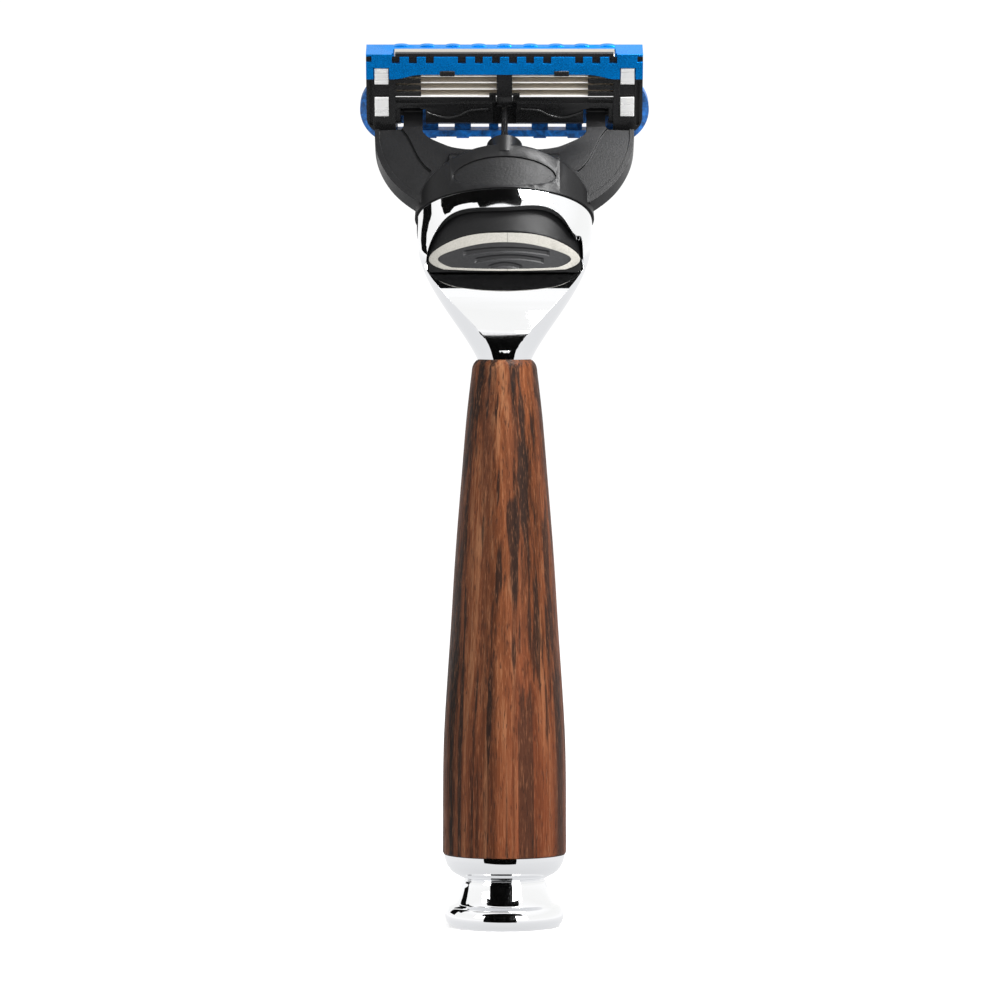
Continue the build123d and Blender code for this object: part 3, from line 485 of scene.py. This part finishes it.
def ring_material():
    """Warm grey plastic with a thin mould line at the middle."""
    material, tree, shader = new_material("warm grey ring")
    tone = tuple(finish().ring)
    where = placed(tree)
    fleck = noise(tree, where, 5200.0, 3.0, 0.7)
    base = mix(tree, map_range(tree, fleck, 0.35, 0.7, 0, 1), shade(tone, 0.84), shade(tone, 1.12))
    aside = math_node(tree, "SUBTRACT", axes(tree, where)["X"], 0.45 * MM)
    distance = math_node(tree, "ABSOLUTE", aside)
    line = map_range(tree, distance, 0.04 * MM, 0.1 * MM, 0.62, 0)
    link(tree, mix(tree, line, base, shade(tone, 0.3)), shader.inputs["Base Color"])
    link(tree, map_range(tree, fleck, 0.3, 0.7, 0.42, 0.6), shader.inputs["Roughness"])
    bump(tree, shader, fleck, 0.01 * MM)
    return material


def pad_material():
    """Soft rubber with three shallow grip grooves, longest on top."""
    material, tree, shader = new_material("pad rubber")
    tone = tuple(finish().rubber)
    where = placed(tree)
    grain = noise(tree, where, 3200.0, 3.0, 0.6)
    place = axes(tree, where)
    grooves = None
    for middle, height, half in ((0.3, 104.95, 6.7), (0.7, 103.8, 5.4), (0.1, 102.65, 2.7)):
        aside = math_node(tree, "SUBTRACT", place["X"], middle * MM)
        square = math_node(tree, "MULTIPLY", math_node(tree, "MULTIPLY", aside, aside), 0.6 / half**2 / MM)
        level = math_node(tree, "ADD", math_node(tree, "SUBTRACT", place["Z"], height * MM), square)
        across = map_range(tree, math_node(tree, "ABSOLUTE", level), 0.2 * MM, 0.44 * MM, 1, 0)
        length = map_range(tree, math_node(tree, "ABSOLUTE", aside), (half - 0.5) * MM, half * MM, 1, 0)
        groove = math_node(tree, "MULTIPLY", across, length)
        grooves = groove if grooves is None else math_node(tree, "MAXIMUM", grooves, groove)
    base = mix(tree, map_range(tree, grain, 0.35, 0.7, 0, 1), shade(tone, 0.75), shade(tone, 1.25))
    shadow = math_node(tree, "MULTIPLY", grooves, 0.55)
    link(tree, mix(tree, shadow, base, shade(tone, 0.3)), shader.inputs["Base Color"])
    link(tree, map_range(tree, grain, 0.3, 0.7, 0.42, 0.6), shader.inputs["Roughness"])
    shader.inputs["Specular IOR Level"].default_value = 0.35
    height = math_node(tree, "SUBTRACT", math_node(tree, "MULTIPLY", grain, 0.06), grooves)
    bump(tree, shader, height, 0.35 * MM)
    return material


def guard_material():
    """Blue elastomer with mottled darker patches."""
    material, tree, shader = new_material("guard elastomer")
    tone = tuple(finish().guard)
    where = placed(tree)
    mottle = noise(tree, where, 900.0, 4.0, 0.7, 0.6)
    grain = noise(tree, where, 4500.0, 2.0, 0.6)
    base = ramp(tree, mottle, ((0.38, shade(tone, 0.45)), (0.5, tone), (0.66, shade(tone, 1.7))))
    link(tree, base, shader.inputs["Base Color"])
    link(tree, map_range(tree, grain, 0.3, 0.7, 0.3, 0.5), shader.inputs["Roughness"])
    bump(tree, shader, grain, 0.01 * MM)
    return material


def black_plastic(name, **changes):
    """Plastic in the razor's one black."""
    return plastic(name, tuple(finish().black), **changes)


# ---------------------------------------------------------------- modelling helpers
def new_object(name, mesh, material):
    """Makes an object at the origin from a bmesh and gives it its material."""
    data = bpy.data.meshes.new(name)
    mesh.to_mesh(data)
    mesh.free()
    data.materials.append(material)
    made = bpy.data.objects.new(name, data)
    bpy.context.scene.collection.objects.link(made)
    return made


def new_piece(name, mesh, body, material, replaces=()):
    """Makes a smooth-shaded piece, hangs it on the empty of the body it rides and hides the nodes it stands
    for.
    """
    bmesh.ops.remove_doubles(mesh, verts=mesh.verts, dist=SAME_PLACE)
    piece = new_object(name, mesh, material)
    piece.data.shade_smooth()
    piece.data.set_sharp_from_angle(angle=math.radians(SHARP_ANGLE))
    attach(piece, body)
    if replaces:
        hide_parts(*replaces)
    return piece


def rounded(piece, width, angle=SHARP_ANGLE):
    """Rounds a piece's edges that are sharper than an angle in degrees."""
    modifier = piece.modifiers.new("rounded edges", "BEVEL")
    modifier.width = width
    modifier.segments = 2
    modifier.limit_method = "ANGLE"
    modifier.angle_limit = math.radians(angle)
    modifier.harden_normals = True
    modifier.use_clamp_overlap = True


def finished_node(node, name, material, edge=None, angle=SHARP_ANGLE):
    """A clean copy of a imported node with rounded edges, in the given material."""
    mesh = bmesh.new()
    mesh.from_mesh(frame["nodes"][node].data)
    bmesh.ops.remove_doubles(mesh, verts=mesh.verts, dist=SAME_CORNER)
    bmesh.ops.dissolve_degenerate(mesh, dist=SAME_CORNER, edges=mesh.edges)
    bmesh.ops.dissolve_limit(
        mesh, angle_limit=FLAT_ANGLE, use_dissolve_boundaries=False, verts=mesh.verts, edges=mesh.edges
    )
    bmesh.ops.recalc_face_normals(mesh, faces=mesh.faces)
    piece = new_piece(name, mesh, BODIES[node], material, (node,))
    rounded(piece, sizes().edge if edge is None else edge, angle)


def turned(name, profile, body, material, replaces):
    """Spins a closed profile of (radius, height) in millimetres about the grip's axis."""
    mesh = bmesh.new()
    verts = [mesh.verts.new((r * MM, 0, z * MM)) for r, z in profile]
    edges = [mesh.edges.new(pair) for pair in zip(verts, verts[1:] + verts[:1])]
    bmesh.ops.spin(
        mesh,
        geom=verts + edges,
        cent=(0, 0, 0),
        axis=(0, 0, 1),
        angle=math.tau,
        steps=sizes().turning_steps,
        use_merge=True,
        use_duplicate=False,
    )
    bmesh.ops.remove_doubles(mesh, verts=mesh.verts, dist=SAME_PLACE)
    bmesh.ops.dissolve_degenerate(mesh, dist=SAME_PLACE, edges=mesh.edges)
    bmesh.ops.recalc_face_normals(mesh, faces=mesh.faces)
    new_piece(name, mesh, body, material, replaces)


def between(a, b, c, d, t):
    """A smooth curve's value a share t of the way from b to c, with a and d as its neighbours."""
    square = (2 * a - 5 * b + 4 * c - d) * t * t
    cube = (3 * b - a - 3 * c + d) * t**3
    return 0.5 * (2 * b + (c - a) * t + square + cube)


def eased(points, steps):
    """A smooth run of points through a few given ones."""
    result = []
    padded = [points[0], *points, points[-1]]
    for near in zip(padded, padded[1:], padded[2:], padded[3:]):
        for step in range(steps):
            result.append(tuple(between(*values, step / steps) for values in zip(*near)))
    result.append(points[-1])
    return result


def in_cartridge(x, w, n):
    """A point of the cartridge's frame, seen from behind, in metres."""
    return (CARTRIDGE + Vector((x, 0, 0)) + UPWARD * w + OUTWARD * n) * MM


def cartridge_blocks(name, blocks, material, edge=0.05, body="cartridge"):
    """Small blocks on the cartridge, each from corner to corner in (x, w, n)."""
    mesh = bmesh.new()
    turn = Matrix((Vector((1, 0, 0)), UPWARD, OUTWARD)).transposed().to_4x4()
    for x0, x1, w0, w1, n0, n1 in blocks:
        size = Matrix.Diagonal(((x1 - x0) * MM, (w1 - w0) * MM, (n1 - n0) * MM, 1))
        centre = Matrix.Translation(in_cartridge((x0 + x1) / 2, (w0 + w1) / 2, (n0 + n1) / 2))
        bmesh.ops.create_cube(mesh, size=1, matrix=centre @ turn @ size)
    # (x, w, n) is a left-handed set of axes, so the cubes come out inside out
    bmesh.ops.recalc_face_normals(mesh, faces=mesh.faces)
    rounded(new_piece(name, mesh, body, material), edge * MM)


def badge_plate(material):
    """A smooth oval plate that lies on the floor of the yoke's blank badge."""
    solid = bmesh.new()
    solid.from_mesh(frame["nodes"]["yoke"].data)
    tree = BVHTree.FromBMesh(solid)
    solid.free()
    half_width, half_height, middle = 7.95, 2.8, 3.3
    far, ring_count = 14, 12
    mesh = bmesh.new()
    rings = []
    for ring in range(ring_count + 1):
        reach = 0.985 * ring / ring_count
        row = []
        for step in range(PLATE_STEPS if ring else 1):
            turn = math.tau * step / PLATE_STEPS
            x = half_width * reach * math.cos(turn)
            a = middle + half_height * reach * math.sin(turn)
            start = (COLLAR + Vector((x, 0, 0)) + ALONG * a - ACROSS * far) * MM
            hit = tree.ray_cast(start, ACROSS, far * MM)[0]
            if hit is None:
                raise RuntimeError("the badge plate found no yoke to lie on")
            row.append(mesh.verts.new(hit - ACROSS * 0.05 * MM))
        rings.append(row)
    for i in range(PLATE_STEPS):
        mesh.faces.new((rings[0][0], rings[1][i], rings[1][(i + 1) % PLATE_STEPS]))
    for first, second in zip(rings[1:], rings[2:]):
        for i in range(PLATE_STEPS):
            j = (i + 1) % PLATE_STEPS
            mesh.faces.new((first[i], second[i], second[j], first[j]))
    inner = [vert for vert in mesh.verts if not vert.is_boundary]
    bmesh.ops.smooth_vert(
        mesh, verts=inner, factor=0.5, use_axis_x=True, use_axis_y=True, use_axis_z=True
    )
    bmesh.ops.solidify(mesh, geom=mesh.faces[:], thickness=0.1 * MM)
    bmesh.ops.recalc_face_normals(mesh, faces=mesh.faces)
    new_piece("badge_plate", mesh, "yoke", material)


def swept_rib(name, run, material):
    """A half-round rib along points (x, w) of the cartridge's back."""
    radius, sunk, arc_steps = 0.14, 0.03, 8
    mesh = bmesh.new()
    rings = []
    for place, (x, w) in enumerate(run):
        before, after = run[max(place - 1, 0)], run[min(place + 1, len(run) - 1)]
        way = Vector((after[0] - before[0], after[1] - before[1])).normalized()
        ring = []
        for step in range(arc_steps + 1):
            turn = math.pi * step / arc_steps
            off, rise = radius * math.cos(turn), radius * math.sin(turn)
            ring.append(mesh.verts.new(in_cartridge(x - way.y * off, w + way.x * off, sunk - rise)))
        rings.append(ring)
    for first, second in zip(rings, rings[1:]):
        for i in range(arc_steps + 1):
            j = (i + 1) % (arc_steps + 1)
            mesh.faces.new((first[i], first[j], second[j], second[i]))
    mesh.faces.new(rings[0])
    mesh.faces.new(list(reversed(rings[-1])))
    bmesh.ops.recalc_face_normals(mesh, faces=mesh.faces)
    new_piece(name, mesh, "cartridge", material)


# ---------------------------------------------------------------- operators
class RAZOR_OT_stage(bpy.types.Operator):
    """Camera, table, world, soft lights and the dark screens that the chrome mirrors"""

    bl_idname = "razor.stage"
    bl_label = "Stage"

    def execute(self, context):
        scene = context.scene
        scene.view_settings.view_transform = "Standard"
        scene.view_settings.look = "None"
        values = sizes()
        side = -0.7 * MM
        camera = bpy.data.objects.new("camera", bpy.data.cameras.new("camera"))
        scene.collection.objects.link(camera)
        camera.data.lens = values.lens
        camera.data.sensor_width = 36
        camera.location = (side, -values.camera_distance, values.camera_height)
        aim = Vector((side, 0, values.aim_height)) - camera.location
        camera.rotation_euler = aim.to_track_quat("-Z", "Y").to_euler()
        scene.camera = camera

        world = bpy.data.worlds.new("studio")
        world.use_nodes = True
        tree = world.node_tree
        background = tree.nodes["Background"]
        where = tree.nodes.new("ShaderNodeTexCoord")
        height = map_range(tree, axes(tree, where.outputs["Generated"])["Z"], -1, 1, 0, 1)
        sky = ramp(
            tree,
            height,
            (
                (0.0, (0.69, 0.695, 0.705)),
                (0.30, (0.77, 0.775, 0.785)),
                (0.47, (0.88, 0.88, 0.885)),
                (0.50, (1.0, 1.0, 1.0)),
                (0.60, (0.94, 0.94, 0.93)),
                (0.74, (0.92, 0.92, 0.91)),
                (0.86, (1.0, 1.0, 1.0)),
            ),
        )
        link(tree, sky, background.inputs["Color"])
        background.inputs["Strength"].default_value = 1.07
        scene.world = world

        self.table()
        self.screens()
        self.lamp("lamp right", (0.16, -0.12, 0.38), 0.07, 1.5)
        self.lamp("lamp left", (-0.45, -0.35, 0.30), 0.2, 1.0)
        self.lamp("lamp near", (0.040, -0.028, 0.205), 0.034, 0.12)
        self.lamp("lamp front", (0.35, -0.60, 0.30), 0.4, 2.5)
        return {"FINISHED"}

    def table(self):
        """A pale table that the chrome doesn't mirror."""
        material, tree, shader = new_material("pale table")
        cloud = noise(tree, placed(tree), 3.0, 2.0, 0.5)
        link(tree, mix(tree, cloud, (0.93, 0.93, 0.93), (0.96, 0.96, 0.96)), shader.inputs["Base Color"])
        shader.inputs["Emission Color"].default_value = (1, 1, 1, 1)
        shader.inputs["Emission Strength"].default_value = 0.1
        shader.inputs["Roughness"].default_value = 0.9
        shader.inputs["Specular IOR Level"].default_value = 0.1
        mesh = bmesh.new()
        bmesh.ops.create_grid(mesh, x_segments=1, y_segments=1, size=6.0)
        table = new_object("table", mesh, material)
        table.visible_glossy = False

    def screens(self):
        """Dark screens that only mirror in glossy surfaces."""
        outlines = (
            ((-22, -30, -5), (11, -30, -5), (11, -30, 34), (-22, -30, 34)),
            ((-70, -62, 50), (50, -62, 50), (50, -62, 89), (-70, -62, 89)),
            ((79, -75, 412), (79, -140, 412), (-120, -138, 412), (-120, -60, 412)),
            ((-120, -60, 412), (-120, -138, 412), (-330, -60, 412), (-330, 60, 412)),
            ((-34, 8.5, 8), (-28.7, 20, 8), (-28.7, 20, 41), (-34, 8.5, 41)),
            ((-194, 48, 106), (-164, 115, 106), (-164, 115, 230), (-194, 48, 230)),
            ((-125, 216, 118), (-55, 243, 118), (-55, 243, 200), (-125, 216, 200)),
        )
        material, tree, shader = new_material("dark screen")
        weave = noise(tree, placed(tree), 40.0, 2.0, 0.5)
        dark = mix(tree, weave, (0.001, 0.001, 0.001), (0.003, 0.003, 0.003))
        link(tree, dark, shader.inputs["Base Color"])
        shader.inputs["Roughness"].default_value = 1.0
        shader.inputs["Specular IOR Level"].default_value = 0.0
        for number, outline in enumerate(outlines):
            mesh = bmesh.new()
            mesh.faces.new([mesh.verts.new(Vector(corner) * MM) for corner in outline])
            screen = new_object(f"screen {number}", mesh, material)
            screen.visible_camera = False
            screen.visible_diffuse = False
            screen.visible_shadow = False
            screen.visible_transmission = False

    def lamp(self, name, place, size, power):
        """A soft square lamp aimed at the middle of the razor."""
        lamp = bpy.data.objects.new(name, bpy.data.lights.new(name, "AREA"))
        lamp.data.energy = power
        lamp.data.size = size
        lamp.location = place
        aim = Vector((0, 0, 0.07)) - lamp.location
        lamp.rotation_euler = aim.to_track_quat("-Z", "Y").to_euler()
        lamp.visible_camera = False
        bpy.context.scene.collection.objects.link(lamp)


class RAZOR_OT_grip(bpy.types.Operator):
    """Turned wooden grip"""

    bl_idname = "razor.grip"
    bl_label = "Wooden grip"

    def execute(self, context):
        outside = eased(
            [
                (9.59, 11.6),
                (9.58, 14.5),
                (9.42, 29.2),
                (8.34, 46.4),
                (7.6, 58.2),
                (6.63, 70.3),
                (5.9, 79.0),
                (5.1, 86.0),
            ],
            14,
        )
        shoulder = [(5.05, 86.5), (4.95, 86.95), (4.8, 87.3), (4.6, 87.6), (4.3, 87.9)]
        inside = [(2.4, 87.9), (2.4, 11.3)]
        base = [(9.25, 11.3), (9.42, 11.34), (9.54, 11.45)]
        turned(
            "grip_wood",
            outside[1:] + shoulder + inside + base,
            "handle",
            wood_material(),
            ("wood_sleeve",),
        )
        return {"FINISHED"}


class RAZOR_OT_foot(bpy.types.Operator):
    """Chromed end cap that the razor stands on"""

    bl_idname = "razor.foot"
    bl_label = "Chromed foot"

    def execute(self, context):
        profile = [(0.01, 0.25), (7.3, 0.25), (7.5, 0.0)]
        rim = [(7.9, 0.0), (8.55, 0.22), (9.0, 0.75), (9.24, 1.5), (9.12, 2.3), (8.75, 3.0), (8.35, 3.3)]
        waist = [(7.95, 3.42), (7.62, 3.62), (7.3, 4.2), (6.95, 5.1), (6.68, 6.1), (6.55, 6.9)]
        groove = [(6.45, 7.15), (6.25, 7.25), (6.25, 7.42), (6.45, 7.55)]
        flare = [(7.1, 7.9), (8.1, 8.5), (8.85, 9.4), (9.25, 10.4), (9.4, 11.25)]
        for run, steps in ((rim, 8), (waist, 8), (groove, 4), (flare, 8)):
            profile += eased(run, steps)
        profile += [(5.2, 11.28), (5.0, 14.0), (0.01, 14.0)]
        turned("foot_cap", profile, "handle", chrome_material(), ("end_cap",))
        return {"FINISHED"}


class RAZOR_OT_head(bpy.types.Operator):
    """Chromed head casting with the black core it docks the cartridge on"""

    bl_idname = "razor.head"
    bl_label = "Head casting"

    def execute(self, context):
        finished_node("head_shell", "head_casting", chrome_material(), edge=0.14 * MM, angle=40)
        finished_node("dock_nose", "dock_core", black_plastic("core plastic"))
        for node in ("tie_rod", "ejector_spring", "plunger_spring"):
            shown = frame["nodes"][node]
            shown.data.materials.clear()
            shown.data.materials.append(steel_material("spring steel", (0.32, 0.32, 0.32)))
        return {"FINISHED"}


class RAZOR_OT_button(bpy.types.Operator):
    """Ejector button with its grey ring and soft thumb pad"""

    bl_idname = "razor.button"
    bl_label = "Ejector button"

    def execute(self, context):
        roof = black_plastic("button plastic", rough=(0.36, 0.5), depth=0.008, gloss=0.12)
        finished_node("ejector_button", "button_body", roof, edge=0.15 * MM)
        finished_node("button_ring", "button_rim", ring_material(), edge=0.1 * MM)
        finished_node("button_pad", "thumb_pad", pad_material(), edge=0.1 * MM)
        finished_node("ejector_pusher", "pusher", black_plastic("core plastic"))
        return {"FINISHED"}


class RAZOR_OT_yoke(bpy.types.Operator):
    """Black yoke with its two arms, and the plunger that steadies the cartridge"""

    bl_idname = "razor.yoke"
    bl_label = "Yoke and plunger"

    def execute(self, context):
        skin = black_plastic("yoke plastic", rough=(0.3, 0.42), grain=3600.0, depth=0.022, gloss=0.16)
        finished_node("yoke", "yoke_body", skin, edge=0.18 * MM)
        stipple = black_plastic("badge stipple", rough=(0.4, 0.55), grain=2600.0, depth=0.05, gloss=0.2)
        badge_plate(stipple)
        glossy = black_plastic("plunger plastic", rough=(0.12, 0.2), depth=0.002, coat=0.4)
        finished_node("plunger", "plunger_pin", glossy, edge=0.05 * MM)
        return {"FINISHED"}


class RAZOR_OT_cartridge(bpy.types.Operator):
    """Cartridge housing, clips, blue cap, trimmer, guard and strip"""

    bl_idname = "razor.cartridge"
    bl_label = "Cartridge"

    def execute(self, context):
        housing = black_plastic("housing plastic", rough=(0.22, 0.34), depth=0.005, gloss=0.4)
        finished_node("cartridge_housing", "housing", housing, edge=0.1 * MM)
        bright = steel_material(
            "clip metal", (0.93, 0.93, 0.92), spread=0.05, lines=3000.0, metal=0.75, edge=0.2
        )
        for side in ("left", "right"):
            finished_node(f"clip_{side}", f"band_{side}", bright, edge=0.09 * MM)
        blue = tuple(finish().blue)
        cap = plastic("cap metallic", blue, rough=(0.22, 0.34), grain=6000.0, depth=0.003, metal=0.8)
        finished_node("trimmer_cover", "cap", cap, edge=0.07 * MM)
        steel = steel_material("blade steel", tuple(finish().steel), spread=0.12)
        finished_node("trimmer_blade", "trimmer", steel, edge=0.02 * MM)
        finished_node("guard_fins", "guard", guard_material(), edge=0.08 * MM)
        # black stops that show at the cap's lower edge
        cartridge_blocks(
            "cap_stops",
            [(side - 1.2, side + 1.2, 8.25, 9.15, -0.66, -0.3) for side in (-8.95, 8.95)],
            housing,
            edge=0.2,
        )
        # the comb plate's edge before the trimmer, a black block that also stands for the shadow in the slot
        # there: painted shade
        cartridge_blocks(
            "comb_edge_and_slot_shadow", [(-17.1, 17.1, 11.3, 12.0, -0.32, 0.5)], housing
        )
        # wavy ribs across the back
        for name, side in (("rib_left", -1), ("rib_right", 1)):
            run = [(2.6, 2.6), (5.4, 2.35), (7.1, 1.55), (9.0, 1.15), (10.9, 1.55), (12.3, 2.1)]
            swept_rib(name, [(side * x, w) for x, w in eased(run, 6)], housing)
        # fingers that cover the ends of the carriers
        inner, outer = 13.1, 17.3
        cartridge_blocks(
            "window_fingers",
            [
                (*sorted((side * inner, side * outer)), low, high, 0.15, 0.7)
                for side in (-1, 1)
                for low, high in ((4.0, 4.3), (4.66, 5.36), (5.74, 6.44), (6.82, 7.52), (7.9, 8.95))
            ],
            housing,
            edge=0.06,
        )
        strip = plastic("glide strip", (0.30, 0.55, 0.72), rough=(0.35, 0.55), depth=0.01)
        finished_node("lubricating_strip", "glide_strip", strip, edge=0.08 * MM)
        return {"FINISHED"}


class RAZOR_OT_blades(bpy.types.Operator):
    """Five blades on their bent carriers"""

    bl_idname = "razor.blades"
    bl_label = "Blades"

    def execute(self, context):
        steel = steel_material("blade steel", tuple(finish().steel), spread=0.12)
        # near-white steel, mostly not metallic, on the carriers' lips: a painted glint along each lip
        glint_painted = steel_material("polished lip", (0.98, 0.98, 0.96), spread=0.02, lines=3000.0, metal=0.2)
        carrier = steel_material("carrier steel", (0.56, 0.51, 0.44), spread=0.12, lines=7000.0, metal=0.4)
        for number in range(1, 6):
            finished_node(f"blade_support_{number}", f"carrier_{number}", carrier, edge=0.03 * MM)
            finished_node(f"blade_{number}", f"edge_{number}", steel, edge=0.008 * MM)
            line = TOP_BLADE - BLADE_PITCH * (number - 1)
            # the lowest carrier's lip keeps clear of the housing's middle
            inner = 4.2 if number == 5 else 1.35
            cartridge_blocks(
                f"carrier_lip_{number}",
                [
                    (-16.6, -inner, line - 0.07, line + 0.05, 1.02, 1.3),
                    (inner, 16.6, line - 0.07, line + 0.05, 1.02, 1.3),
                ],
                glint_painted,
                edge=0.02,
                body=f"blade_unit_{number}",
            )
        return {"FINISHED"}


class RAZOR_PT_panel(bpy.types.Panel):
    """Lists the razor's sizes, colours and pieces"""

    bl_label = "Razor"
    bl_idname = "RAZOR_PT_panel"
    bl_space_type = "VIEW_3D"
    bl_region_type = "UI"
    bl_category = "Razor"

    def draw(self, context):
        for group in (context.scene.razor_sizes, context.scene.razor_finish):
            for name in group.__annotations__:
                self.layout.prop(group, name)
        for operator in OPERATORS:
            self.layout.operator(operator.bl_idname)


OPERATORS = (
    RAZOR_OT_stage,
    RAZOR_OT_grip,
    RAZOR_OT_foot,
    RAZOR_OT_head,
    RAZOR_OT_button,
    RAZOR_OT_yoke,
    RAZOR_OT_cartridge,
    RAZOR_OT_blades,
)
CLASSES = (RazorFinish, RazorSizes, *OPERATORS, RAZOR_PT_panel)


def register():
    """Adds the razor's classes and its two groups of values."""
    for cls in CLASSES:
        bpy.utils.register_class(cls)
    bpy.types.Scene.razor_finish = PointerProperty(type=RazorFinish)
    bpy.types.Scene.razor_sizes = PointerProperty(type=RazorSizes)


def unregister():
    """Takes them away again."""
    del bpy.types.Scene.razor_sizes
    del bpy.types.Scene.razor_finish
    for cls in reversed(CLASSES):
        bpy.utils.unregister_class(cls)


def main():
    """Makes every piece."""
    register()
    for operator in OPERATORS:
        group, name = operator.bl_idname.split(".")
        getattr(getattr(bpy.ops, group), name)()


if __name__ == "__main__":
    main()
